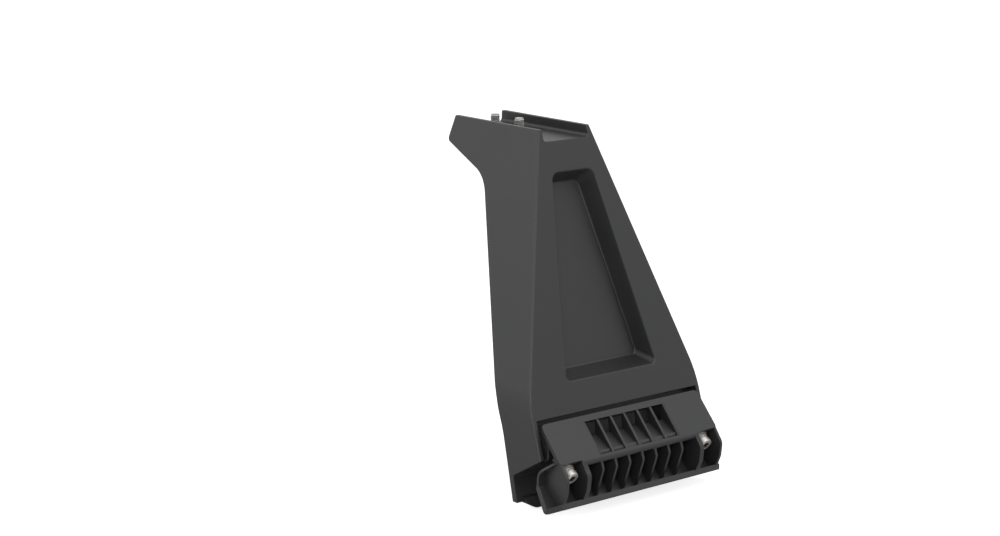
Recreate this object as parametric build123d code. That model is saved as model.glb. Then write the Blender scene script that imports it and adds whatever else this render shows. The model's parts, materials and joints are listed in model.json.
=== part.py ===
"""Roof bar foot: a tall moulded leg with a ribbed gutter clamp.

Millimetres, +Z up, +X outboard along the bar, +Y along the vehicle.
The origin is the middle of the rubber pad's underside, where the foot stands in the gutter.
"""
from build123d import *
from math import atan2, cos, degrees, radians, sin, tan
import os

# Leg, overall
bar_height = 210.0          # gutter seat to the underside of the bar
foot_half = 66.0            # half width of the foot
kink_height = 65.0          # where the upright foot turns into the tapered leg
face_lean = 18.2            # outboard face, degrees from upright
face_at_clamp = 16.0        # outboard face above the clamp, outboard of the seat
clamp_line = 57.7           # height of the edge above the clamp
wall = 3.6                  # wall of the moulding
edge_radius = 1.6           # long outer corners
kink_radius = 70.0          # blend from foot to leg

# Bar saddle
bar_half = 17.4             # half width of the bar at its underside
bar_draw = 3.7              # degrees by which the bar's sides lean in
bar_corner = 2.0            # lower corners of the bar
saddle_wall = 4.6           # side wall beside the bar, at the saddle floor
saddle_rise = 7.0           # side walls above the saddle floor
saddle_floor = 5.0          # thickness under the bar
saddle_length = 86.5        # along the bar
end_lean = 8.0              # inboard end of the saddle, degrees
shelf_edge = 8.3            # depth of the saddle at its inboard end
shelf_corner = 3.5
shoulder_drop = 24.9        # depth of the saddle where it meets the leg
shoulder_radius = 25.0

# Leg, depth from the outboard face to the open back
neck_depth = 51.2           # at the shoulder
foot_depth = 32.3           # at the top of the foot
knee_height = 47.0          # where the back turns into the toe
knee_radius = 60.0

# Panel in the outboard face
panel_top = 18.0            # below the bar
panel_bottom = 75.4         # above the seat
panel_half_top = 15.8
panel_half_bottom = 35.4
panel_depth = 9.1
panel_inset = 6.9           # how far the sloping sides come in
panel_top_inset = 4.8       # how far its top comes in
panel_corner = 5.5
panel_foot_corner = 3.2     # lower corners
panel_edge = 1.4            # rounding of the panel's edges

# Ribs in the open back
rib_thickness = 2.6
rib_setback = 2.5           # rib edges behind the edges of the side walls
upright_ribs = 5
upright_pitch = 20.5
cross_ribs = 4
cross_pitch = 29.0
cross_rib_drop = 30.0       # first cross rib below the bar

# Toe and underside
cheek_height = 35.9         # lower outboard corner of the side walls
underside_slope = 30.5      # degrees
underside_wall = 4.6
toe_thickness = 4.2
toe_lean = 13.0             # degrees

# Rubber pad on the toe
pad_floor = 5.2             # rubber under the toe
pad_height = 8.0
pad_wall = 3.0
pad_half = 61.6
pad_end_radius = 14.0
pad_corner = 2.0

# Rebate for the clamp
rebate_depth = 8.0
clamp_side_gap = 1.0

# Clamp
plate_slope = 46.6          # degrees below horizontal
plate_stand = 2.1           # plate's top edge outboard of the leg's face
plate_gap = 1.7             # plate's top edge below the edge above it
plate_length = 29.8
plate_thickness = 2.8
plate_corner = 3.0
plate_fold = 2.6            # rounding of the plate's lower edge
bay_corner = 1.9            # plate's corners over the ears
bay_set = 0.2               # plate's edge over the screw heads, above its fold
web_place = 24.0            # web's root on the plate, from its top edge
web_thickness = 1.7
web_set = 2.0               # upright part of the web, inboard of the cheek corner
web_top = 7.4               # bend of the web below the cheek corner
web_bottom = 15.9           # end of the upright part below the cheek corner
web_radius = 9.0
web_corner = 10.5           # upper corners of the web, from the front
lip_reach = 8.8             # lower corner of the lip, outboard of the cheek corner
lip_drop = 27.6             # lower corner of the lip, below the cheek corner
lip_thickness = 3.0
lip_start = 1.0             # lip above its bend
lip_foot = 6.8              # foot of the lip, outboard of its corner
lip_foot_rise = 3.8
lip_foot_side = 0.8         # foot of the lip beyond the ears
lip_overhang = 3.0          # lower corners of the lip beyond the side of the leg
lip_radius = 2.2            # bend at the lip's top
lip_corner = 1.6            # bend at its lower corner
nose_out = 19.2             # foremost point of the ears, from the cheek corner
nose_drop = 7.6
brow_drop = 16.2            # end of the upright stretch of the ears' front
brow_set = 1.0              # how far that stretch leans back
ear_radius = 5.0
rib_out = 16.0              # foremost point of the thin ribs, from the cheek corner
rib_drop = 7.2
rib_radius = 4.0
clamp_ribs = 7
clamp_rib_pitch = 10.4
clamp_rib_thickness = 1.7
bay_wall_thickness = 3.2
ear_thickness = 1.8
ear_set = 0.2               # ears inside the plate's surface and sides
window_start = 4.1          # window in the plate, from its top edge
window_end = 26.1
window_floor_start = 11.5
window_depth = 6.0
window_rib_depth = 7.2
lap = 0.6                   # how far the clamp's walls run into each other

# Clamp screws
screw_slope = 30.0          # degrees below horizontal
screw_side = 8.7            # screw axis inside the plate's sides
screw_length = 40.0
screw_radius = 2.5
screw_head_radius = 4.25
screw_head_height = 5.0
screw_socket = 4.0          # across flats
screw_flat_radius = 5.0
screw_flat_thickness = 1.0
screw_spring_radius = 4.6
screw_spring_thickness = 1.2
screw_hole = 2.75
seat_out = 7.1              # washer seat on the clamp, outboard of the cheek corner
seat_drop = 5.8             # and below it
clamp_boss = 6.0
leg_boss = 7.2
leg_boss_reach = 8.6        # washer seat on the clamp to the leg's boss
nut_reach = 21.5            # washer seat on the clamp to the nut
nut_flats = 8.0
nut_height = 4.6
nut_gap = 0.15
thread_gap = 0.05

# Bar bolts
bolt_radius = 3.0           # thread
bolt_shank = 2.7            # reduced shank in the saddle floor
bolt_shank_gap = 0.3        # reduced shank above the saddle floor
bolt_length = 16.0
bolt_head_radius = 5.0
bolt_head_height = 6.0
bolt_socket = 5.0
bolt_flat_radius = 6.0
bolt_flat_thickness = 1.6
bolt_spring_radius = 5.9
bolt_spring_thickness = 1.6
bolt_hole = 3.3
bolt_end = 17.0             # inboard bolt from the saddle's inboard end
bolt_pitch = 24.0
bolt_room = 8.0             # clear radius round a bolt head

# Fastener details
washer_gap = 0.15           # washer bore round its screw
spring_split = 1.2
spring_slant = 25.0         # degrees
socket_share = 0.55         # socket depth as a share of the head
tip_chamfer = 0.6
far = 400.0                 # longer than the part, for cutters

# Worked out from the sizes above
lean = tan(radians(face_lean))
face_out = Vector(cos(radians(face_lean)), 0, sin(radians(face_lean)))
saddle_top = bar_height + saddle_rise
neck_half = bar_half + saddle_wall
flare = (foot_half - neck_half) / (bar_height - kink_height)
rebate_half = foot_half - wall
plate_half = rebate_half - clamp_side_gap
screw_y = plate_half - screw_side
bay_edge = plate_length - plate_fold - bay_set
sides = {"front": -1, "rear": 1}


def face_x(height):
    """Outboard face at a height."""
    return face_at_clamp - lean * (height - clamp_line)


def half_width(height):
    """Half width of the tapered leg at a height."""
    return neck_half + flare * (bar_height - height)


cheek = Vector(face_x(cheek_height), 0, cheek_height)
plate_along = Vector(cos(radians(plate_slope)), 0, -sin(radians(plate_slope)))
plate_out = Vector(sin(radians(plate_slope)), 0, cos(radians(plate_slope)))
plate_top = Vector(face_x(clamp_line) + plate_stand, 0, clamp_line - plate_gap)
screw_axis = Vector(cos(radians(screw_slope)), 0, -sin(radians(screw_slope)))
screw_seat = cheek + Vector(seat_out, 0, -seat_drop)
bolt_inboard = face_x(bar_height) - saddle_length + bolt_end
bolt_places = {"inboard": bolt_inboard, "outboard": bolt_inboard + bolt_pitch}


def upright_profile(points, radii, half, centre=0.0):
    """Solid with an outline in X and Z, between two planes across Y."""
    outline = FilletPolyline(*points, radius=radii, close=True)
    face = make_face(Plane.XZ.offset(-centre) * outline)
    return extrude(face, half, both=True)


def on_plate(along, depth):
    """Point of the clamp's plate, as X and Z, from its top edge and below its surface."""
    point = plate_top + plate_along * along - plate_out * depth
    return point.X, point.Z


def screw_plane(reach, y):
    """Plane across a clamp screw, a reach inboard of the washer seat, facing outboard."""
    origin = screw_seat - screw_axis * reach + Vector(0, y, 0)
    return Plane(origin=origin, x_dir=(0, 1, 0), z_dir=screw_axis)


def crossing(point_a, slope_a, point_b, slope_b):
    """Where two lines in X and Z meet, each with its run in X for one of Z."""
    height = (point_b[0] - point_a[0] + slope_a * point_a[1] - slope_b * point_b[1])
    height = height / (slope_a - slope_b)
    return point_a[0] + slope_a * (height - point_a[1]), height


def toe_x(height, side):
    """Inboard (-1) or outboard (1) face of the toe at a height."""
    return side * toe_thickness / 2 - tan(radians(toe_lean)) * (height - pad_floor)


def leg_outline(inset=0.0):
    """Outline of the leg from the side, with its back set in, and its corner radii."""
    underside_run = 1 / tan(radians(underside_slope))
    toe_run = -tan(radians(toe_lean))
    armpit = crossing((cheek.X, cheek.Z), underside_run, (toe_x(0, 1), 0), toe_run)
    shoulder_height = bar_height - shoulder_drop
    shoulder = (face_x(shoulder_height) - neck_depth + inset, shoulder_height + inset)
    end_x = face_x(bar_height) - saddle_length
    end_top = end_x + tan(radians(end_lean)) * (saddle_rise + shelf_edge)
    points = [
        (face_x(saddle_top), saddle_top),
        (cheek.X, cheek.Z),
        armpit,
        (toe_x(pad_floor, 1), pad_floor),
        (toe_x(pad_floor, -1) + inset, pad_floor),
        (toe_x(knee_height, -1) + inset, knee_height),
        (face_x(kink_height) - foot_depth + inset, kink_height),
        shoulder,
        (end_x, bar_height - shelf_edge + inset),
        (end_top, saddle_top),
    ]
    radii = [0, 0, edge_radius, 0, 0, knee_radius, knee_radius, shoulder_radius, shelf_corner, 0]
    return points, radii


def front_outline(inset, bottom, top):
    """Half outline of the leg from the front, made whole, and its corner radii."""
    slant = inset / cos(atan2(flare, 1))
    right = [
        (foot_half - inset, bottom),
        (foot_half - inset, kink_height),
        (half_width(top) - slant, top),
    ]
    left = [(-y, z) for y, z in reversed(right)]
    return right + left, [0, kink_radius, 0, 0, kink_radius, 0]


def front_profile(inset, bottom, top):
    """Solid with the leg's outline from the front."""
    points, radii = front_outline(inset, bottom, top)
    outline = FilletPolyline(*points, radius=radii, close=True)
    return extrude(make_face(Plane.YZ * outline), far, both=True)


def panel_block(grow):
    """The panel sunk in the outboard face, or the block that leaves a wall behind it."""
    face = Plane(origin=(face_x(0), 0, 0), x_dir=(0, 1, 0), z_dir=face_out)
    stretch = 1 / cos(radians(face_lean))
    top = (bar_height - panel_top) * stretch
    bottom = panel_bottom * stretch
    radii = [panel_foot_corner, panel_corner, panel_corner, panel_foot_corner]
    levels = [(0, 0, 0), (panel_depth + grow, panel_inset, panel_top_inset)]
    sketches = []
    for depth, inset, top_inset in levels:
        step = grow - inset
        right = [(panel_half_bottom + step, bottom - step),
                 (panel_half_top + step, top + grow - top_inset)]
        left = [(-y, z) for y, z in reversed(right)]
        outline = FilletPolyline(*right, *left, radius=radii, close=True)
        sketches.append(make_face(face.offset(-depth) * outline))
    return loft(sketches, ruled=True)


def rebate_block(grow):
    """The step in the outboard face that the clamp's plate lies in front of."""
    face = Plane(origin=(face_x(clamp_line), 0, clamp_line), x_dir=(0, 1, 0), z_dir=face_out)
    height = clamp_line / cos(radians(face_lean))
    width = 2 * (rebate_half + grow)
    depth = rebate_depth + grow
    block = Box(width, height + grow, 2 * depth, align=(Align.CENTER, Align.MAX, Align.CENTER))
    return face * Pos(0, grow, 0) * block


def back_cavity():
    """Hollow of the leg, open at the back, between the ribs and bosses."""
    floor_bottom = bar_height - saddle_floor
    wall_run = wall / cos(radians(face_lean))
    under_run = underside_wall / cos(radians(underside_slope))
    under_slope = 1 / tan(radians(underside_slope))
    under_point = (cheek.X, cheek.Z + under_run)
    corner = crossing((face_x(0) - wall_run, 0), -lean, under_point, under_slope)
    end_in = face_x(bar_height) - saddle_length + wall
    low = under_point[0] - under_slope * under_point[1]
    points = [(face_x(floor_bottom) - wall_run, floor_bottom), corner, (low, 0), (end_in, 0),
              (end_in, floor_bottom)]
    hollow = upright_profile(points, 0, far)
    hollow &= front_profile(wall, -far, floor_bottom)
    hollow -= panel_block(wall)
    hollow -= rebate_block(wall)
    return hollow - back_ribs() - [screw_boss(y * screw_y) for y in sides.values()]


def back_ribs():
    """Upright and cross ribs of the open back, clear of the bar bolts' heads."""
    points, radii = leg_outline(rib_setback)
    slab = upright_profile(points, radii, foot_half)
    ribs = []
    for number in range(upright_ribs):
        y = (number - (upright_ribs - 1) / 2) * upright_pitch
        ribs.append(slab & Pos(0, y, 0) * Box(far * 2, rib_thickness, far * 2))
    for number in range(cross_ribs):
        height = bar_height - cross_rib_drop - number * cross_pitch
        level = Plane(origin=(face_x(height), 0, height), x_dir=(0, 1, 0), z_dir=face_out)
        ribs.append(slab & level * Box(far, rib_thickness, far))
    room = [Pos(x, 0, 0) * Cylinder(bolt_room, far * 2) for x in bolt_places.values()]
    return [rib - room for rib in ribs]


def screw_boss(y):
    """Boss of the leg round one clamp screw, with the nut at its inboard end."""
    length = nut_reach + nut_height - leg_boss_reach
    boss = extrude(Circle(leg_boss), length)
    return screw_plane(nut_reach + nut_height, y) * boss


def hexagon(flats):
    """Hexagon by its size across flats."""
    return RegularPolygon(flats / 2, 6, major_radius=False)


def make_leg():
    """The moulded leg."""
    points, radii = leg_outline()
    leg = upright_profile(points, radii, far) & front_profile(0, -far, saddle_top)
    corners = [edge for edge in leg.edges() if is_face_corner(edge)]
    leg = fillet(corners, edge_radius)
    leg -= panel_block(0)
    leg = fillet([edge for edge in leg.edges() if is_panel_edge(edge)], panel_edge)
    leg -= back_cavity()
    leg -= rebate_block(0)
    leg -= bar_block()
    for y in sides.values():
        leg += screw_boss(y * screw_y) & upright_profile(points, radii, foot_half)
        leg -= screw_plane(nut_reach, y * screw_y) * Cylinder(screw_hole, nut_reach * 2)
        pocket = extrude(hexagon(nut_flats + 2 * nut_gap), -nut_height)
        leg -= screw_plane(nut_reach, y * screw_y) * pocket
    for x in bolt_places.values():
        leg -= Pos(x, 0, bar_height) * Cylinder(bolt_hole, 4 * saddle_floor)
    return leg


def is_face_corner(edge):
    """Whether an edge is a long corner between the outboard face and a side."""
    middle = edge.center()
    on_face = abs(middle.X - face_x(middle.Z)) < edge_radius / 4
    return on_face and abs(middle.Y) > neck_half / 2 and edge.length > wall


def is_panel_edge(edge):
    """Whether an edge belongs to the panel's mouth or its floor."""
    middle = edge.center()
    depth = (face_x(middle.Z) - middle.X) * cos(radians(face_lean))
    at_level = min(abs(depth), abs(depth - panel_depth)) < panel_edge / 4
    low, high = panel_bottom - panel_edge, bar_height - panel_top + panel_edge
    return at_level and low < middle.Z < high and abs(middle.Y) < panel_half(middle.Z)


def panel_half(height):
    """Half width of the panel at a height, with room for its rounding."""
    share = (height - panel_bottom) / (bar_height - panel_top - panel_bottom)
    return panel_half_bottom + share * (panel_half_top - panel_half_bottom) + panel_edge


def bar_block():
    """Room for the bar in the saddle."""
    rise = 2 * saddle_rise
    upper = bar_half - tan(radians(bar_draw)) * rise
    right = [(bar_half, bar_height), (upper, bar_height + rise)]
    left = [(-y, z) for y, z in reversed(right)]
    outline = FilletPolyline(*right, *left, radius=[bar_corner, 0, 0, bar_corner], close=True)
    return extrude(make_face(Plane.YZ * outline), far, both=True)


def make_pad():
    """The rubber shoe on the toe, with its ends rounded up."""
    inner = toe_x(pad_height, -1) - pad_wall
    outer = toe_x(pad_height, 1) + pad_wall
    points = [
        (toe_x(pad_floor, -1) - pad_wall, 0),
        (toe_x(pad_floor, 1) + pad_wall, 0),
        (outer, pad_height),
        (inner, pad_height),
    ]
    shoe = upright_profile(points, [pad_corner, pad_corner, 0, 0], pad_half)
    points, radii = leg_outline()
    shoe -= upright_profile(points, radii, far)
    end_angle = degrees(atan2(pad_end_radius - pad_height, pad_end_radius))
    run = pad_end_radius * cos(radians(end_angle))
    low = Line((run - pad_half, 0), (pad_half - run, 0))
    right = TangentArc((pad_half - run, 0), (pad_half, pad_height), tangent=(1, 0))
    left = TangentArc((run - pad_half, 0), (-pad_half, pad_height), tangent=(-1, 0))
    top = Line((-pad_half, pad_height), (pad_half, pad_height))
    boat = extrude(make_face(Plane.YZ * (low + right + top + left)), far, both=True)
    return shoe & boat


def lip_points():
    """Lower corner of the clamp's lip and the end of its foot."""
    lip = (cheek.X + lip_reach, cheek.Z - lip_drop)
    return lip, (lip[0] + lip_foot, lip[1] + lip_foot_rise)


def web_path():
    """Middle line of the clamp's web, from the plate to the lip."""
    upright = cheek.X - web_set
    return [
        on_plate(web_place, plate_thickness / 2),
        (upright, cheek.Z - web_top),
        (upright, cheek.Z - web_bottom),
    ]


def strip(points, radii, thickness):
    """Long bent wall of even thickness along a line in X and Z."""
    line = FilletPolyline(*points, radius=radii)
    return extrude(Plane.XZ * trace(line, thickness), far, both=True)


def ear(y, thickness):
    """One of the deep walls beside the screws, between the plate, the web and the lip."""
    lip, toe = lip_points()
    root, bend, foot = web_path()
    nose = (cheek.X + nose_out, cheek.Z - nose_drop)
    brow = (nose[0] - brow_set, cheek.Z - brow_drop)
    front = (toe[0] - lap, toe[1])
    points = [root, on_plate(web_place + lap, ear_set), nose, brow, front, lip, foot, bend]
    radii = [0, 0, ear_radius, ear_radius, 0, 0, 0, web_radius]
    return upright_profile(points, radii, thickness / 2, y)


def rib(y):
    """One of the thin ribs between the ears."""
    lip = lip_points()[0]
    root, bend, foot = web_path()
    front = (cheek.X + rib_out, cheek.Z - rib_drop)
    fold = on_plate(plate_length - plate_fold / 2, plate_fold / 2)
    points = [root, fold, front, lip, foot, bend]
    radii = [0, 0, rib_radius, 0, 0, web_radius]
    return upright_profile(points, radii, clamp_rib_thickness / 2, y)


def wing_profile():
    """Outline of the web and lip from the front: round at the top, wider at the foot."""
    root, bend, foot = web_path()
    low = foot_half + lip_overhang
    right = [(low, -far), (low, lip_points()[0][1]), (foot_half, foot[1]),
             (foot_half, on_plate(web_place, 0)[1])]
    left = [(-y, z) for y, z in reversed(right)]
    radii = [0, 0, 0, web_corner, web_corner, 0, 0, 0]
    outline = FilletPolyline(*right, *left, radius=radii, close=True)
    return extrude(make_face(Plane.YZ * outline), far, both=True)


def lip_corners():
    """What is cut off the ends of the lip's foot, at a slant."""
    lip = lip_points()[0]
    side = plate_half - ear_set + lip_foot_side
    end = foot_half + lip_overhang
    reach = 2 * lip_foot
    slant = (end - side) / lip_foot
    corners = []
    for sign in sides.values():
        points = [(lip[0], sign * end), (lip[0] + reach, sign * (end - slant * reach)),
                  (lip[0] + reach, sign * 2 * end), (lip[0], sign * 2 * end)]
        corners.append(extrude(make_face(Polyline(*points, close=True)), cheek_height))
    return corners


def plate_block(start, end, depth, half):
    """Block of the clamp's plate between two distances from its top edge."""
    points = [on_plate(start, 0), on_plate(end, 0), on_plate(end, depth), on_plate(start, depth)]
    return upright_profile(points, 0, half)


def clamp_plate():
    """The clamp's sloping plate, with its window and the bays over the screw heads."""
    plate = plate_block(0, plate_length, plate_thickness, plate_half)
    plate = fillet(plate_corners(plate, 0), plate_corner)
    plate = fillet(plate.edges().filter_by(is_plate_fold), plate_fold)
    window_half = clamp_rib_pitch * (clamp_ribs - 1) / 2
    plate -= plate_block(window_start, window_end, plate_thickness, window_half)
    bay_half = (plate_half - bay_inner()) / 2 + lap
    for y in sides.values():
        centre = y * (plate_half + bay_inner()) / 2
        over = -plate_thickness
        points = [on_plate(bay_edge, over), on_plate(far, over), on_plate(far, far),
                  on_plate(bay_edge, far)]
        plate -= upright_profile(points, 0, bay_half, centre)
    return fillet(plate_corners(plate, bay_edge), bay_corner)


def plate_corners(plate, along):
    """The two corners of the plate's sides at a distance from its top edge."""
    ends = plate.edges().filter_by(lambda edge: abs(edge.center().Y) > plate_half - lap)
    offsets = [(edge.center() - plate_top).dot(plate_along) - along for edge in ends]
    return [edge for edge, offset in zip(ends, offsets) if abs(offset) < lap]


def is_plate_fold(edge):
    """Whether an edge is the long outer one at the plate's lower end."""
    offset = edge.center() - plate_top
    at_end = abs(offset.dot(plate_along) - plate_length) < plate_fold / 4
    return at_end and abs(offset.dot(plate_out)) < plate_fold / 4 and edge.length > plate_half


def bay_outer():
    """Side of a screw bay at the ear."""
    return plate_half - ear_set - ear_thickness


def bay_inner():
    """Side of a screw bay at its inner wall."""
    return 2 * screw_y - bay_outer()


def window_ribs():
    """Gussets across the window, with the sloping floor that rises to its lower edge."""
    window_half = clamp_rib_pitch * (clamp_ribs - 1) / 2
    floor = [
        on_plate(window_end + lap, lap),
        on_plate(web_place + lap, window_depth),
        on_plate(window_floor_start, window_depth),
    ]
    parts = [upright_profile(floor, 0, window_half)]
    gusset = [
        on_plate(window_start - lap, lap / 2),
        on_plate(window_end + 2 * lap, lap / 2),
        on_plate(web_place, window_rib_depth),
        on_plate(window_floor_start - lap, window_rib_depth),
        on_plate(window_start - lap, plate_thickness - lap),
    ]
    for number in range(clamp_ribs):
        y = (number - (clamp_ribs - 1) / 2) * clamp_rib_pitch
        parts.append(upright_profile(gusset, 0, clamp_rib_thickness / 2, y))
    return parts


def make_clamp():
    """The ribbed clamp."""
    lip, toe = lip_points()
    root, bend, foot = web_path()
    lip_line = [(foot[0], foot[1] + lip_start), foot, lip, toe]
    clamp = strip(lip_line, [lip_radius, lip_corner], lip_thickness)
    clamp += strip([root, bend, foot], web_radius, web_thickness)
    clamp &= wing_profile()
    clamp -= lip_corners()
    clamp += clamp_plate()
    clamp += window_ribs()
    for number in range(clamp_ribs):
        clamp += rib((number - (clamp_ribs - 1) / 2) * clamp_rib_pitch)
    for y in sides.values():
        clamp += ear(y * (bay_outer() + ear_thickness / 2), ear_thickness)
        clamp += ear(y * (bay_inner() - bay_wall_thickness / 2), bay_wall_thickness)
        boss = screw_plane(0, y * screw_y) * extrude(Circle(clamp_boss), -clamp_boss)
        clamp += boss & ear(y * screw_y, 2 * clamp_boss)
        clamp -= screw_plane(0, y * screw_y) * Cylinder(screw_hole, far / 2)
    return clamp


def cap_screw(radius, length, head_radius, head_height, socket):
    """Socket cap screw along Z, its thread below the seat and its head above."""
    shank = Pos(0, 0, -length) * extrude(Circle(radius), length)
    shank = chamfer(shank.edges().sort_by(Axis.Z)[:1], tip_chamfer)
    head = extrude(Circle(head_radius), head_height)
    depth = head_height * socket_share
    return shank + head - Pos(0, 0, head_height - depth) * extrude(hexagon(socket), depth)


def flat_washer(radius, bore, thickness):
    """Flat washer that lies on the XY plane."""
    return extrude(Circle(radius) - Circle(bore), thickness)


def spring_washer(radius, bore, thickness):
    """Split washer that lies on the XY plane, cut across at a slant."""
    ring = flat_washer(radius, bore, thickness)
    cut = Box(2 * radius, spring_split, 4 * thickness, align=(Align.MIN, Align.CENTER, Align.CENTER))
    return ring - Pos(0, 0, thickness / 2) * Rot(spring_slant, 0, 0) * cut


def make_nut():
    """Hexagon nut that lies on the XY plane, its bore a running fit on the screw."""
    nut = extrude(hexagon(nut_flats), nut_height)
    return nut - Cylinder(screw_radius + thread_gap, 4 * nut_height)


def clamp_fasteners():
    """The two clamp screws with their washers and nuts."""
    stack = screw_flat_thickness + screw_spring_thickness
    pieces = {}
    for side, sign in sides.items():
        y = sign * screw_y
        screw = cap_screw(screw_radius, screw_length, screw_head_radius, screw_head_height,
                          screw_socket)
        bore = screw_radius + washer_gap
        flat = flat_washer(screw_flat_radius, bore, screw_flat_thickness)
        spring = spring_washer(screw_spring_radius, bore, screw_spring_thickness)
        pieces[f"clamp_screw_{side}"] = screw_plane(-stack, y) * screw
        pieces[f"clamp_flat_washer_{side}"] = screw_plane(0, y) * flat
        pieces[f"clamp_spring_washer_{side}"] = screw_plane(-screw_flat_thickness, y) * spring
        pieces[f"clamp_nut_{side}"] = screw_plane(nut_reach + nut_height, y) * make_nut()
    return pieces


def bar_fasteners():
    """The two bolts up through the saddle floor, with their washers under it."""
    pieces = {}
    under = bar_height - saddle_floor
    for place, x in bolt_places.items():
        bolt = cap_screw(bolt_radius, bolt_length, bolt_head_radius, bolt_head_height, bolt_socket)
        stack = saddle_floor + bolt_flat_thickness + bolt_spring_thickness
        waist = Circle(bolt_radius) - Circle(bolt_shank)
        bolt -= extrude(waist, -(stack + bolt_shank_gap))
        bore = bolt_radius + washer_gap
        flat = flat_washer(bolt_flat_radius, bore, bolt_flat_thickness)
        spring = spring_washer(bolt_spring_radius, bore, bolt_spring_thickness)
        flat_under = under - bolt_flat_thickness
        spring_under = flat_under - bolt_spring_thickness
        pieces[f"bar_bolt_{place}"] = Pos(x, 0, spring_under) * Rot(180, 0, 0) * bolt
        pieces[f"bar_flat_washer_{place}"] = Pos(x, 0, flat_under) * flat
        pieces[f"bar_spring_washer_{place}"] = Pos(x, 0, spring_under) * spring
    return pieces


nodes = {"leg_body": make_leg(), "gutter_pad": make_pad(), "clamp_jaw": make_clamp()}
nodes |= clamp_fasteners()
nodes |= bar_fasteners()

os.makedirs("parts", exist_ok=True)
for name, solid in nodes.items():
    export_step(solid, f"parts/{name}.step")
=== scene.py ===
"""Looks of a roof bar foot: moulded nylon leg and clamp, rubber pad and stainless screws.

Metres, in the part's own frame: +Z up, +X outboard along the bar, +Y along the gutter.
"""
import json
from math import cos, pi, radians, sin

import bpy
from bpy.props import FloatProperty, FloatVectorProperty, IntProperty, PointerProperty
from bpy.types import Operator, Panel, PropertyGroup
from mathutils import Matrix, Vector


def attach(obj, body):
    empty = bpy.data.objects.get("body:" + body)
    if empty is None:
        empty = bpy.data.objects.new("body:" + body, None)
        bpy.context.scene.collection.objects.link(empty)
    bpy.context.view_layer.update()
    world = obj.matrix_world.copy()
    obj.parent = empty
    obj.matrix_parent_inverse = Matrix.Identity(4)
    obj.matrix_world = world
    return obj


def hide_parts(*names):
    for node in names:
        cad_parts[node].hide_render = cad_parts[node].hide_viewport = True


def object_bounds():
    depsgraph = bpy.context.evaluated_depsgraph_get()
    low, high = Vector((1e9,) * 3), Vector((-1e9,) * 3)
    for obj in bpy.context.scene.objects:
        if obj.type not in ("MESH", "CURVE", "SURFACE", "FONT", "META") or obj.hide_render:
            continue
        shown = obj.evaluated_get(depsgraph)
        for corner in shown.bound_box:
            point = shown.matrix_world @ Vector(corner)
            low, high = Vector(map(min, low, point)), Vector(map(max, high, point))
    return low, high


bl_info = {
    "name": "Roof bar foot",
    "version": (1, 0, 0),
    "blender": (4, 5, 0),
    "location": "View3D > Sidebar > Roof bar foot",
    "description": "Finishes the moulded leg, clamp, pad and screws of a roof bar foot",
    "category": "Object",
}

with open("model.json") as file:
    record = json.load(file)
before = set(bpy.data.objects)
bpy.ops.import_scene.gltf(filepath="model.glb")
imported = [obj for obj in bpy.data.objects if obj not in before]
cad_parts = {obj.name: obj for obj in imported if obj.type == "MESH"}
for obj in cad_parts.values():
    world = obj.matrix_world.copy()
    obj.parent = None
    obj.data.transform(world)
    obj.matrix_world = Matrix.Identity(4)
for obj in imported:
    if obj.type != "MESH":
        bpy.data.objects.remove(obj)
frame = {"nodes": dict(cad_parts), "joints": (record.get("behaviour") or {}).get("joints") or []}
cad_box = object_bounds()
joint_axis = Vector(next(j["axis"] for j in frame["joints"] if j["name"] == "clamp_slide"))

SIDES = ("front", "rear")
PLACES = ("inboard", "outboard")
LIGHTS = ("side_light", "face_light", "front_light")
WHITE = (1, 1, 1, 1)

# Gaps in metres, within which points are joined or taken as one rim
JOIN_GAP = 0.000001
THREAD_JOIN_GAP = 0.000002
RIM_GAP = 0.00001

# Angles between faces, for joining flat ones, rounding edges and smooth shading
FLAT_ANGLE = radians(0.1)
SHARP_ANGLE = radians(35)
MOULDING_SMOOTH_ANGLE = radians(32)
SCREW_SMOOTH_ANGLE = radians(28)

# Noise of the finishes, and the painted shade in hollows of the steel
NOISE_LOW, NOISE_HIGH = 0.3, 0.7
GRAIN_DETAIL, CLOUD_DETAIL = 3.0, 4.0
HOLLOW_SHADE_REACH = 0.004
HOLLOW_SHADE_POWER = 2.0

# What the panel's move takes in, as shares of its wall and of its depth
PANEL_MARGIN = 1.1
PANEL_REACH = 1.05

# Screw heads, as shares of the head's height or radius
HEAD_ROUNDING = 0.1
SOCKET_LEVEL = 0.95
KNURL_FROM = 0.995
KNURL_SCALE = 0.98

# Threads, as shares of the pitch, with the core's rise as a share of the depth
THREAD_STEPS = 24
THREAD_DEPTH = 0.6
THREAD_CORE = 0.12
THREAD_CREST_LOW, THREAD_CREST_HIGH = 0.42, 0.56
THREAD_TOP = 0.98
THREAD_START = 0.3

# Floor and camera
FLOOR_SIZE = 12
FLOOR_DROP = 0.0005
FLOOR_GLOW = 0.8
FLOOR_ROUGHNESS = 0.9
FLOOR_SPECULAR = 0.1
SENSOR_WIDTH = 36
CLIP_START = 0.01


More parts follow.
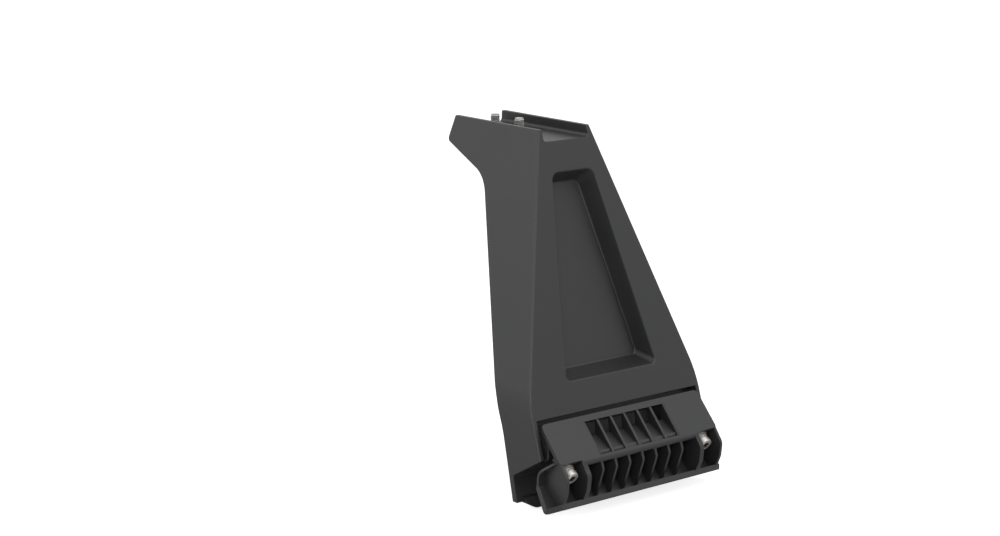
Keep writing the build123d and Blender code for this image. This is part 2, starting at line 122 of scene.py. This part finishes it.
class FootSizes(PropertyGroup):
    """Sizes of the details."""

    edge_softness: FloatProperty(
        name="Edge softness", description="Rounding of the leg's edges",
        default=0.0005, unit="LENGTH")
    clamp_softness: FloatProperty(
        name="Clamp softness", description="Rounding of the clamp's edges",
        default=0.0002, unit="LENGTH")
    face_lean: FloatProperty(
        name="Face lean", description="Outboard face, from upright",
        default=radians(18.2), unit="ROTATION")
    face_foot: FloatProperty(
        name="Face foot", description="Outboard face at the level of the seat",
        default=0.0349708, unit="LENGTH")
    panel_low: FloatProperty(
        name="Panel low", description="Lower edge of the panel, along the face",
        default=0.07937, unit="LENGTH")
    panel_high: FloatProperty(
        name="Panel high", description="Upper edge of the panel, along the face",
        default=0.20211, unit="LENGTH")
    panel_half_low: FloatProperty(
        name="Panel half low", description="Half width of the panel at its lower edge",
        default=0.0354, unit="LENGTH")
    panel_half_high: FloatProperty(
        name="Panel half high", description="Half width of the panel at its upper edge",
        default=0.0158, unit="LENGTH")
    panel_depth: FloatProperty(
        name="Panel depth", description="Floor of the panel below the face, before it is sunk",
        default=0.0091, unit="LENGTH")
    panel_wall: FloatProperty(
        name="Panel wall", description="Wall behind the panel", default=0.0036, unit="LENGTH")
    panel_sink: FloatProperty(
        name="Panel sink", description="How much deeper the floor is sunk",
        default=0.0029, unit="LENGTH")
    panel_spread: FloatProperty(
        name="Panel spread", description="How far the sides of the floor are moved out",
        default=0.0027, unit="LENGTH")
    panel_lifts: FloatVectorProperty(
        name="Panel lifts", description="How far the lower and upper edges of the floor are raised",
        size=2, default=(0.0009, 0.0005), unit="LENGTH")
    screw_pitch: FloatProperty(
        name="Screw pitch", description="Thread pitch of the clamp screws",
        default=0.0008, unit="LENGTH")
    bolt_pitch: FloatProperty(
        name="Bolt pitch", description="Thread pitch of the bar bolts",
        default=0.001, unit="LENGTH")
    knurl_teeth: IntProperty(
        name="Knurl teeth", description="Teeth round the head of a cap screw", default=36)
    screw_radius: FloatProperty(
        name="Screw radius", description="Outer radius of the clamp screws' thread",
        default=0.0025, unit="LENGTH")
    screw_length: FloatProperty(
        name="Screw length", description="Clamp screw under its head", default=0.040, unit="LENGTH")
    screw_head_radius: FloatProperty(
        name="Screw head radius", description="Head of a clamp screw",
        default=0.00425, unit="LENGTH")
    screw_head_height: FloatProperty(
        name="Screw head height", description="Head of a clamp screw", default=0.005, unit="LENGTH")
    screw_socket: FloatProperty(
        name="Screw socket", description="Socket of a clamp screw, across flats",
        default=0.004, unit="LENGTH")
    bolt_radius: FloatProperty(
        name="Bolt radius", description="Outer radius of the bar bolts' thread",
        default=0.003, unit="LENGTH")
    bolt_length: FloatProperty(
        name="Bolt length", description="Bar bolt under its head", default=0.016, unit="LENGTH")
    bolt_head_radius: FloatProperty(
        name="Bolt head radius", description="Head of a bar bolt", default=0.005, unit="LENGTH")
    bolt_head_height: FloatProperty(
        name="Bolt head height", description="Head of a bar bolt", default=0.006, unit="LENGTH")
    bolt_socket: FloatProperty(
        name="Bolt socket", description="Socket of a bar bolt, across flats",
        default=0.005, unit="LENGTH")


class FootColours(PropertyGroup):
    """Colours of the finishes."""

    nylon: FloatVectorProperty(
        name="Nylon", description="Moulded leg and clamp", subtype="COLOR",
        size=4, min=0, max=1, default=(0.0195, 0.0198, 0.0208, 1))
    rubber: FloatVectorProperty(
        name="Rubber", description="Pad under the toe", subtype="COLOR",
        size=4, min=0, max=1, default=(0.011, 0.011, 0.011, 1))
    steel: FloatVectorProperty(
        name="Steel", description="Screws, bolts, washers and nuts", subtype="COLOR",
        size=4, min=0, max=1, default=(0.62, 0.60, 0.57, 1))
    floor: FloatVectorProperty(
        name="Floor", description="Pale floor", subtype="COLOR",
        size=4, min=0, max=1, default=(0.9, 0.9, 0.9, 1))


class FootStage(PropertyGroup):
    """Camera and light."""

    camera_place: FloatVectorProperty(
        name="Camera", description="Where the camera stands", subtype="TRANSLATION",
        default=(0.8751, -0.7595, 0.3897))
    camera_azimuth: FloatProperty(
        name="Azimuth", description="Turn of the camera about the upright axis",
        default=radians(52.047), unit="ROTATION")
    camera_elevation: FloatProperty(
        name="Elevation", description="Height of the camera above level",
        default=radians(12.313), unit="ROTATION")
    camera_lens: FloatProperty(
        name="Lens", description="Focal length in millimetres", default=72.02)
    side_light_place: FloatVectorProperty(
        name="Side light", description="Where the light on the leg's side stands",
        subtype="TRANSLATION", default=(-0.75, -1.7, 1.15))
    side_light_size: FloatProperty(
        name="Side light size", description="Width of the light on the leg's side",
        default=1.3, unit="LENGTH")
    side_light_power: FloatProperty(
        name="Side light power", description="Light on the leg's side, in watts", default=9.5)
    face_light_place: FloatVectorProperty(
        name="Face light", description="Where the light on the outboard face stands",
        subtype="TRANSLATION", default=(0.9, 0.2, 1.8))
    face_light_size: FloatProperty(
        name="Face light size", description="Width of the light on the outboard face",
        default=1.6, unit="LENGTH")
    face_light_power: FloatProperty(
        name="Face light power", description="Light on the outboard face, in watts", default=16.0)
    front_light_place: FloatVectorProperty(
        name="Front light", description="Where the light that shows in the edges stands",
        subtype="TRANSLATION", default=(1.3, -1.3, 0.9))
    front_light_size: FloatProperty(
        name="Front light size", description="Width of the light that shows in the edges",
        default=0.6, unit="LENGTH")
    front_light_power: FloatProperty(
        name="Front light power", description="Light that shows in the edges, in watts",
        default=8.0)
    world_level: FloatProperty(
        name="World level", description="Light from all round", default=0.28)


def sizes():
    """Sizes held by the scene."""
    return bpy.context.scene.foot_sizes


def colours():
    """Colours held by the scene."""
    return bpy.context.scene.foot_colours


def make_active(piece):
    """Select one object alone."""
    bpy.ops.object.select_all(action="DESELECT")
    piece.select_set(True)
    bpy.context.view_layer.objects.active = piece


def apply_modifier(piece, kind, **settings):
    """Add a modifier with its settings, and apply it."""
    make_active(piece)
    modifier = piece.modifiers.new(kind.lower(), kind)
    for key, value in settings.items():
        setattr(modifier, key, value)
    bpy.ops.object.modifier_apply(modifier=modifier.name)


def join(piece, other):
    """Join another object into a piece."""
    make_active(piece)
    other.select_set(True)
    bpy.ops.object.join()


def set_materials(piece, material):
    """Give a piece one material."""
    piece.data.materials.clear()
    piece.data.materials.append(material)


def new_group(name, inputs, outputs):
    """Shader node group with its sockets, its input node and its output node."""
    group = bpy.data.node_groups.new(name, "ShaderNodeTree")
    for label, kind in inputs:
        group.interface.new_socket(name=label, in_out="INPUT", socket_type=kind)
    for label, kind in outputs:
        group.interface.new_socket(name=label, in_out="OUTPUT", socket_type=kind)
    return group, group.nodes.new("NodeGroupInput"), group.nodes.new("NodeGroupOutput")


def add_node(tree, kind, **settings):
    """Add a shader node with its settings."""
    node = tree.nodes.new(kind)
    for key, value in settings.items():
        setattr(node, key, value)
    return node


def spread(tree, value, low, high):
    """Map a noise value onto the range between two sockets."""
    node = add_node(tree, "ShaderNodeMapRange")
    node.inputs["From Min"].default_value = NOISE_LOW
    node.inputs["From Max"].default_value = NOISE_HIGH
    for socket, source in (("Value", value), ("To Min", low), ("To Max", high)):
        tree.links.new(source, node.inputs[socket])
    return node.outputs["Result"]


def surface_grain():
    """Group that varies a colour and a roughness and gives the height of a fine grain."""
    inputs = [
        ("Place", "NodeSocketVector"), ("Colour", "NodeSocketColor"),
        ("Grain scale", "NodeSocketFloat"), ("Cloud scale", "NodeSocketFloat"),
        ("Darkest", "NodeSocketFloat"), ("Lightest", "NodeSocketFloat"),
        ("Roughness low", "NodeSocketFloat"), ("Roughness high", "NodeSocketFloat"),
    ]
    outputs = [
        ("Colour", "NodeSocketColor"), ("Roughness", "NodeSocketFloat"),
        ("Height", "NodeSocketFloat"),
    ]
    group, given, made = new_group("Surface grain", inputs, outputs)
    grain = add_node(group, "ShaderNodeTexNoise")
    cloud = add_node(group, "ShaderNodeTexNoise")
    for noise, scale, detail in ((grain, "Grain scale", GRAIN_DETAIL),
                                 (cloud, "Cloud scale", CLOUD_DETAIL)):
        noise.inputs["Detail"].default_value = detail
        group.links.new(given.outputs["Place"], noise.inputs["Vector"])
        group.links.new(given.outputs[scale], noise.inputs["Scale"])
    shade = spread(group, cloud.outputs["Fac"], given.outputs["Darkest"], given.outputs["Lightest"])
    tint = add_node(group, "ShaderNodeVectorMath", operation="SCALE")
    group.links.new(given.outputs["Colour"], tint.inputs[0])
    group.links.new(shade, tint.inputs["Scale"])
    polish = spread(group, cloud.outputs["Fac"], given.outputs["Roughness low"],
                    given.outputs["Roughness high"])
    group.links.new(tint.outputs["Vector"], made.inputs["Colour"])
    group.links.new(polish, made.inputs["Roughness"])
    group.links.new(grain.outputs["Fac"], made.inputs["Height"])
    return group


def grained_material(name, colour, group, values, bump, **shader_values):
    """Principled material whose colour, roughness and grain come from the group.

    The bump is the strength of the grain and its height in metres.
    """
    material = bpy.data.materials.new(name)
    material.use_nodes = True
    tree = material.node_tree
    shader = tree.nodes["Principled BSDF"]
    place = add_node(tree, "ShaderNodeTexCoord")
    grain = add_node(tree, "ShaderNodeGroup", node_tree=group)
    grain.inputs["Colour"].default_value = colour
    for label, value in values.items():
        grain.inputs[label].default_value = value
    height = add_node(tree, "ShaderNodeBump")
    height.inputs["Strength"].default_value = bump[0]
    height.inputs["Distance"].default_value = bump[1]
    tree.links.new(place.outputs["Object"], grain.inputs["Place"])
    tree.links.new(grain.outputs["Colour"], shader.inputs["Base Color"])
    tree.links.new(grain.outputs["Roughness"], shader.inputs["Roughness"])
    tree.links.new(grain.outputs["Height"], height.inputs["Height"])
    tree.links.new(height.outputs["Normal"], shader.inputs["Normal"])
    for label, value in shader_values.items():
        shader.inputs[label].default_value = value
    return material


def finish(name):
    """A finish by its name, made when it is first asked for."""
    if name in bpy.data.materials:
        return bpy.data.materials[name]
    group = bpy.data.node_groups.get("Surface grain") or surface_grain()
    shades = colours()
    if name == "Moulded nylon":
        values = {"Grain scale": 2600.0, "Cloud scale": 26.0, "Darkest": 0.92, "Lightest": 1.08,
                  "Roughness low": 0.40, "Roughness high": 0.48}
        return grained_material(name, shades.nylon, group, values, bump=(0.22, 0.0002),
                                **{"Specular IOR Level": 0.5})
    if name == "Pad rubber":
        values = {"Grain scale": 1900.0, "Cloud scale": 40.0, "Darkest": 0.85, "Lightest": 1.15,
                  "Roughness low": 0.68, "Roughness high": 0.8}
        return grained_material(name, shades.rubber, group, values, bump=(0.3, 0.0002))
    values = {"Grain scale": 2200.0, "Cloud scale": 500.0, "Darkest": 0.9, "Lightest": 1.05,
              "Roughness low": 0.4, "Roughness high": 0.52}
    steel = grained_material(name, shades.steel, group, values, bump=(0.08, 0.0001),
                             Metallic=0.8)
    # Painted shade: ambient occlusion darkens the steel's colour in sockets and in gaps between
    # parts
    paint_hollow_shade(steel)
    return steel


def paint_hollow_shade(material):
    """Paint shade into the base colour of a material in narrow hollows such as a socket, from
    ambient occlusion.
    """
    tree = material.node_tree
    shader = tree.nodes["Principled BSDF"]
    colour = shader.inputs["Base Color"].links[0].from_socket
    # Painted shade: the occlusion within a few millimetres, raised to a power, scales the colour
    # down
    hollow_shade = add_node(tree, "ShaderNodeAmbientOcclusion", only_local=True)
    hollow_shade.inputs["Distance"].default_value = HOLLOW_SHADE_REACH
    depth = add_node(tree, "ShaderNodeMath", operation="POWER")
    depth.inputs[1].default_value = HOLLOW_SHADE_POWER
    tint = add_node(tree, "ShaderNodeVectorMath", operation="SCALE")
    tree.links.new(hollow_shade.outputs["AO"], depth.inputs[0])
    tree.links.new(colour, tint.inputs[0])
    tree.links.new(depth.outputs["Value"], tint.inputs["Scale"])
    tree.links.new(tint.outputs["Vector"], shader.inputs["Base Color"])


def closed_copy(node, name):
    """Copy of a node whose loose triangles are joined into one closed skin."""
    piece = bpy.data.objects.new(name, frame["nodes"][node].data.copy())
    bpy.context.scene.collection.objects.link(piece)
    make_active(piece)
    bpy.ops.object.mode_set(mode="EDIT")
    bpy.ops.mesh.select_all(action="SELECT")
    bpy.ops.mesh.remove_doubles(threshold=JOIN_GAP)
    bpy.ops.object.mode_set(mode="OBJECT")
    return piece


def weigh_outward_edges(piece):
    """Give a bevel weight to the sharp edges that stand outward."""
    mesh = piece.data
    beside = {}
    for face in mesh.polygons:
        for key in face.edge_keys:
            beside.setdefault(key, []).append(face)
    weights = mesh.attributes.new("bevel_weight_edge", "FLOAT", "EDGE")
    for edge in mesh.edges:
        first, second = beside[edge.key]
        is_outward = (second.center - first.center).dot(first.normal) < 0
        is_sharp = first.normal.angle(second.normal) > SHARP_ANGLE
        weights.data[edge.index].value = float(is_outward and is_sharp)


def soften(piece, softness):
    """Join the triangles of each flat face, and round off a moulding's outward edges."""
    make_active(piece)
    bpy.ops.object.mode_set(mode="EDIT")
    bpy.ops.mesh.select_all(action="SELECT")
    bpy.ops.mesh.dissolve_limited(angle_limit=FLAT_ANGLE)
    bpy.ops.object.mode_set(mode="OBJECT")
    weigh_outward_edges(piece)
    apply_modifier(piece, "BEVEL", width=softness, segments=2, limit_method="WEIGHT",
                   use_clamp_overlap=False)
    bpy.ops.object.shade_smooth_by_angle(angle=MOULDING_SMOOTH_ANGLE)


def deepen_panel(piece):
    """Sink the floor of the leg's panel, steepen its sides and move the wall behind it as far."""
    given = sizes()
    out = Vector((cos(given.face_lean), 0, sin(given.face_lean)))
    up = Vector((-sin(given.face_lean), 0, cos(given.face_lean)))
    foot = Vector((given.face_foot, 0, 0))
    margin = given.panel_wall * PANEL_MARGIN
    low_lift, high_lift = given.panel_lifts
    facings = [vertex.normal.dot(out) for vertex in piece.data.vertices]
    for vertex, facing in zip(piece.data.vertices, facings):
        place = vertex.co - foot
        along, depth = place.dot(up), -place.dot(out)
        rise = (along - given.panel_low) / (given.panel_high - given.panel_low)
        half = given.panel_half_low + rise * (given.panel_half_high - given.panel_half_low)
        is_within = given.panel_low - margin < along < given.panel_high + margin
        is_front = facing > 0
        share = (depth if is_front else depth - given.panel_wall) / given.panel_depth
        if not is_within or abs(place.y) > half + margin or not 0 < share < PANEL_REACH:
            continue
        move = -out * given.panel_sink
        if is_front:
            move += up * (low_lift + rise * (high_lift - low_lift))
            move.y = given.panel_spread if place.y > 0 else -given.panel_spread
        vertex.co += share * move


def cap_screw(name, radius, length, head_radius, head_height, socket, pitch):
    """Socket cap screw along Z with its seat at the origin, knurled and threaded.

    The upper rim of its head is rounded.
    """
    teeth = sizes().knurl_teeth
    bpy.ops.object.select_all(action="DESELECT")
    bpy.ops.mesh.primitive_cylinder_add(
        vertices=2 * teeth, radius=head_radius, depth=head_height,
        location=(0, 0, head_height / 2))
    head = bpy.context.active_object
    bpy.ops.object.mode_set(mode="EDIT")
    bpy.ops.mesh.select_mode(type="EDGE")
    bpy.ops.mesh.select_all(action="DESELECT")
    bpy.ops.object.mode_set(mode="OBJECT")
    for edge in head.data.edges:
        heights = [head.data.vertices[i].co.z for i in edge.vertices]
        edge.select = min(heights) > 0
    bpy.ops.object.mode_set(mode="EDIT")
    bpy.ops.mesh.bevel(offset=head_height * HEAD_ROUNDING, segments=3, affect="EDGES")
    bpy.ops.object.mode_set(mode="OBJECT")
    apply_transform(head)
    cut_socket(head, socket, head_height)
    knurl(head, head_radius, teeth)
    join(head, threaded_shank(radius, length, pitch))
    head.name = name
    bpy.ops.object.shade_smooth_by_angle(angle=SCREW_SMOOTH_ANGLE)
    return head


def apply_transform(piece):
    """Put an object's place, turn and scale into its mesh."""
    make_active(piece)
    bpy.ops.object.transform_apply(location=True, rotation=True, scale=True)


def cut_socket(head, socket, head_height):
    """Sink the hexagonal socket into a screw's head."""
    corner = socket / 2 / cos(pi / 6)
    bpy.ops.object.select_all(action="DESELECT")
    bpy.ops.mesh.primitive_cylinder_add(
        vertices=6, radius=corner, depth=head_height,
        location=(0, 0, head_height * SOCKET_LEVEL))
    cutter = bpy.context.active_object
    apply_modifier(head, "BOOLEAN", operation="DIFFERENCE", object=cutter, solver="EXACT")
    bpy.data.objects.remove(cutter)


def knurl(head, head_radius, teeth):
    """Pull in every other upright edge of a head's side."""
    step = pi / teeth
    make_active(head)
    bpy.ops.object.mode_set(mode="EDIT")
    bpy.ops.mesh.select_mode(type="VERT")
    bpy.ops.mesh.select_all(action="DESELECT")
    bpy.ops.object.mode_set(mode="OBJECT")
    for vertex in head.data.vertices:
        flat = Vector((vertex.co.x, vertex.co.y))
        turn = flat.angle_signed(Vector((1, 0)), 0) / step
        on_side = flat.length > head_radius * KNURL_FROM
        vertex.select = on_side and round(turn) % 2 == 1
    bpy.ops.object.mode_set(mode="EDIT")
    bpy.ops.transform.resize(value=(KNURL_SCALE, KNURL_SCALE, 1), center_override=(0, 0, 0))
    bpy.ops.object.mode_set(mode="OBJECT")


def threaded_shank(radius, length, pitch):
    """Shank of a screw, from its seat down, with a helical thread."""
    depth = pitch * THREAD_DEPTH
    root = radius - depth
    bpy.ops.object.select_all(action="DESELECT")
    bpy.ops.mesh.primitive_cylinder_add(
        vertices=THREAD_STEPS, radius=root + depth * THREAD_CORE, depth=length,
        location=(0, 0, -length / 2))
    core = bpy.context.active_object
    apply_transform(core)
    turns = int(length / pitch) - 1
    profile = bpy.data.meshes.new("thread_profile")
    points = [(root, 0, 0), (radius, 0, pitch * THREAD_CREST_LOW),
              (radius, 0, pitch * THREAD_CREST_HIGH), (root, 0, pitch * THREAD_TOP)]
    profile.from_pydata(points, [(0, 1), (1, 2), (2, 3), (3, 0)], [])
    thread = bpy.data.objects.new("thread", profile)
    bpy.context.scene.collection.objects.link(thread)
    thread.location = (0, 0, -length + pitch * THREAD_START)
    apply_transform(thread)
    apply_modifier(thread, "SCREW", screw_offset=pitch, iterations=turns, steps=THREAD_STEPS,
                   render_steps=THREAD_STEPS, axis="Z")
    bpy.ops.object.mode_set(mode="EDIT")
    bpy.ops.mesh.select_all(action="SELECT")
    bpy.ops.mesh.remove_doubles(threshold=THREAD_JOIN_GAP)
    bpy.ops.mesh.fill_holes(sides=0)
    bpy.ops.mesh.normals_make_consistent(inside=False)
    bpy.ops.object.mode_set(mode="OBJECT")
    join(core, thread)
    return core


def seat_screw(screw, node, axis, head_height):
    """Turn a screw onto its axis, and place its head where the node's head is."""
    mesh = frame["nodes"][node].data
    reach = max(vertex.co.dot(axis) for vertex in mesh.vertices)
    rim = [vertex.co for vertex in mesh.vertices if vertex.co.dot(axis) > reach - RIM_GAP]
    low, high = ([pick(co[i] for co in rim) for i in range(3)] for pick in (min, max))
    seat = (Vector(low) + Vector(high)) / 2 - axis * head_height
    turn = Vector((0, 0, 1)).rotation_difference(axis).to_matrix().to_4x4()
    screw.matrix_world = Matrix.Translation(seat) @ turn
    apply_transform(screw)


class FOOT_OT_mouldings(Operator):
    """Finish the moulded leg and clamp in satin nylon"""

    bl_idname = "foot.mouldings"
    bl_label = "Leg and clamp"

    def execute(self, context):
        given = sizes()
        for node, body, softness in (("leg_body", "leg", given.edge_softness),
                                     ("clamp_jaw", "clamp", given.clamp_softness)):
            piece = closed_copy(node, f"{body}_moulding")
            soften(piece, softness)
            if body == "leg":
                deepen_panel(piece)
            apply_modifier(piece, "WEIGHTED_NORMAL", mode="FACE_AREA", weight=100, keep_sharp=True)
            set_materials(piece, finish("Moulded nylon"))
            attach(piece, body)
            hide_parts(node)
        return {"FINISHED"}


class FOOT_OT_pad(Operator):
    """Finish the rubber pad under the toe"""

    bl_idname = "foot.pad"
    bl_label = "Gutter pad"

    def execute(self, context):
        set_materials(frame["nodes"]["gutter_pad"], finish("Pad rubber"))
        return {"FINISHED"}


class FOOT_OT_clamp_screws(Operator):
    """Model the knurled and threaded clamp screws"""

    bl_idname = "foot.clamp_screws"
    bl_label = "Clamp screws"

    def execute(self, context):
        given = sizes()
        for side in SIDES:
            screw = cap_screw(f"cap_screw_{side}", given.screw_radius, given.screw_length,
                              given.screw_head_radius, given.screw_head_height,
                              given.screw_socket, given.screw_pitch)
            seat_screw(screw, f"clamp_screw_{side}", joint_axis, given.screw_head_height)
            set_materials(screw, finish("Stainless"))
            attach(screw, f"screw_{side}")
            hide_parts(f"clamp_screw_{side}")
        return {"FINISHED"}


class FOOT_OT_bar_bolts(Operator):
    """Model the knurled and threaded bolts of the bar"""

    bl_idname = "foot.bar_bolts"
    bl_label = "Bar bolts"

    def execute(self, context):
        given = sizes()
        for place in PLACES:
            bolt = cap_screw(f"cap_bolt_{place}", given.bolt_radius, given.bolt_length,
                             given.bolt_head_radius, given.bolt_head_height,
                             given.bolt_socket, given.bolt_pitch)
            seat_screw(bolt, f"bar_bolt_{place}", Vector((0, 0, -1)), given.bolt_head_height)
            set_materials(bolt, finish("Stainless"))
            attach(bolt, "leg")
            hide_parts(f"bar_bolt_{place}")
        return {"FINISHED"}


class FOOT_OT_washers(Operator):
    """Finish the washers and nuts in stainless steel"""

    bl_idname = "foot.washers"
    bl_label = "Washers and nuts"

    def execute(self, context):
        for node, piece in frame["nodes"].items():
            if "washer" in node or "nut" in node:
                set_materials(piece, finish("Stainless"))
        return {"FINISHED"}


class FOOT_OT_stage(Operator):
    """Set the floor, the light and the camera"""

    bl_idname = "foot.stage"
    bl_label = "Stage"

    def execute(self, context):
        settings = context.scene.foot_stage
        context.scene.view_settings.view_transform = "Standard"
        lay_floor()
        light_world(settings)
        middle = (Vector(cad_box[0]) + Vector(cad_box[1])) / 2
        for name in LIGHTS:
            soft_light(name, getattr(settings, f"{name}_place"), middle,
                       getattr(settings, f"{name}_size"), getattr(settings, f"{name}_power"))
        place_camera(settings)
        return {"FINISHED"}


def lay_floor():
    """Pale floor that shows white to the camera and keeps the shadow."""
    bpy.ops.object.select_all(action="DESELECT")
    bpy.ops.mesh.primitive_plane_add(size=FLOOR_SIZE, location=(0, 0, -FLOOR_DROP))
    floor = bpy.context.active_object
    floor.name = "floor"
    apply_transform(floor)
    material = bpy.data.materials.new("Pale floor")
    material.use_nodes = True
    tree = material.node_tree
    shader = tree.nodes["Principled BSDF"]
    shader.inputs["Base Color"].default_value = colours().floor
    shader.inputs["Roughness"].default_value = FLOOR_ROUGHNESS
    shader.inputs["Specular IOR Level"].default_value = FLOOR_SPECULAR
    shader.inputs["Emission Color"].default_value = WHITE
    path = add_node(tree, "ShaderNodeLightPath")
    lift = add_node(tree, "ShaderNodeMath", operation="MULTIPLY")
    lift.inputs[1].default_value = FLOOR_GLOW
    tree.links.new(path.outputs["Is Camera Ray"], lift.inputs[0])
    tree.links.new(lift.outputs["Value"], shader.inputs["Emission Strength"])
    set_materials(floor, material)


def light_world(settings):
    """Even light from all round, with a background that the camera and gloss see as white."""
    world = bpy.data.worlds.new("Studio")
    bpy.context.scene.world = world
    world.use_nodes = True
    tree = world.node_tree
    background = tree.nodes["Background"]
    background.inputs["Color"].default_value = WHITE
    path = add_node(tree, "ShaderNodeLightPath")
    seen = path.outputs["Is Camera Ray"]
    for kind in ("Is Glossy Ray", "Is Transmission Ray"):
        either = add_node(tree, "ShaderNodeMath", operation="MAXIMUM")
        tree.links.new(seen, either.inputs[0])
        tree.links.new(path.outputs[kind], either.inputs[1])
        seen = either.outputs["Value"]
    level = add_node(tree, "ShaderNodeMapRange")
    level.inputs["To Min"].default_value = settings.world_level
    tree.links.new(seen, level.inputs["Value"])
    tree.links.new(level.outputs["Result"], background.inputs["Strength"])


def soft_light(name, place, target, size, power):
    """Square soft light that points at the part."""
    lamp = bpy.data.lights.new(name, "AREA")
    lamp.size = size
    lamp.energy = power
    light = bpy.data.objects.new(name, lamp)
    bpy.context.scene.collection.objects.link(light)
    light.location = place
    light.rotation_euler = (target - light.location).to_track_quat("-Z", "Y").to_euler()


def place_camera(settings):
    """Camera at the photograph's viewing angle."""
    lens = bpy.data.cameras.new("camera")
    lens.sensor_fit = "HORIZONTAL"
    lens.sensor_width = SENSOR_WIDTH
    lens.lens = settings.camera_lens
    lens.clip_start = CLIP_START
    camera = bpy.data.objects.new("camera", lens)
    bpy.context.scene.collection.objects.link(camera)
    camera.location = settings.camera_place
    camera.rotation_euler = (pi / 2 - settings.camera_elevation, 0, settings.camera_azimuth)
    bpy.context.scene.camera = camera


class FOOT_PT_panel(Panel):
    """Steps and settings of the roof bar foot"""

    bl_label = "Roof bar foot"
    bl_idname = "FOOT_PT_panel"
    bl_space_type = "VIEW_3D"
    bl_region_type = "UI"
    bl_category = "Roof bar foot"

    def draw(self, context):
        for step in STEPS:
            self.layout.operator(step.bl_idname)
        for group in (context.scene.foot_sizes, context.scene.foot_colours,
                      context.scene.foot_stage):
            for label in group.bl_rna.properties.keys():
                if label not in ("rna_type", "name"):
                    self.layout.prop(group, label)


GROUPS = {"foot_sizes": FootSizes, "foot_colours": FootColours, "foot_stage": FootStage}
STEPS = (FOOT_OT_mouldings, FOOT_OT_pad, FOOT_OT_clamp_screws, FOOT_OT_bar_bolts,
         FOOT_OT_washers, FOOT_OT_stage)


def register():
    """Register the classes and the scene's settings."""
    for group in (*GROUPS.values(), *STEPS, FOOT_PT_panel):
        bpy.utils.register_class(group)
    for name, group in GROUPS.items():
        setattr(bpy.types.Scene, name, PointerProperty(type=group))


def unregister():
    """Take the classes and settings out again."""
    for name in GROUPS:
        delattr(bpy.types.Scene, name)
    for group in (FOOT_PT_panel, *reversed(STEPS), *GROUPS.values()):
        bpy.utils.unregister_class(group)


def main():
    """Register the steps, build every piece and set the stage."""
    register()
    bpy.ops.foot.mouldings()
    bpy.ops.foot.pad()
    bpy.ops.foot.clamp_screws()
    bpy.ops.foot.bar_bolts()
    bpy.ops.foot.washers()
    bpy.ops.foot.stage()


if __name__ == "__main__":
    main()
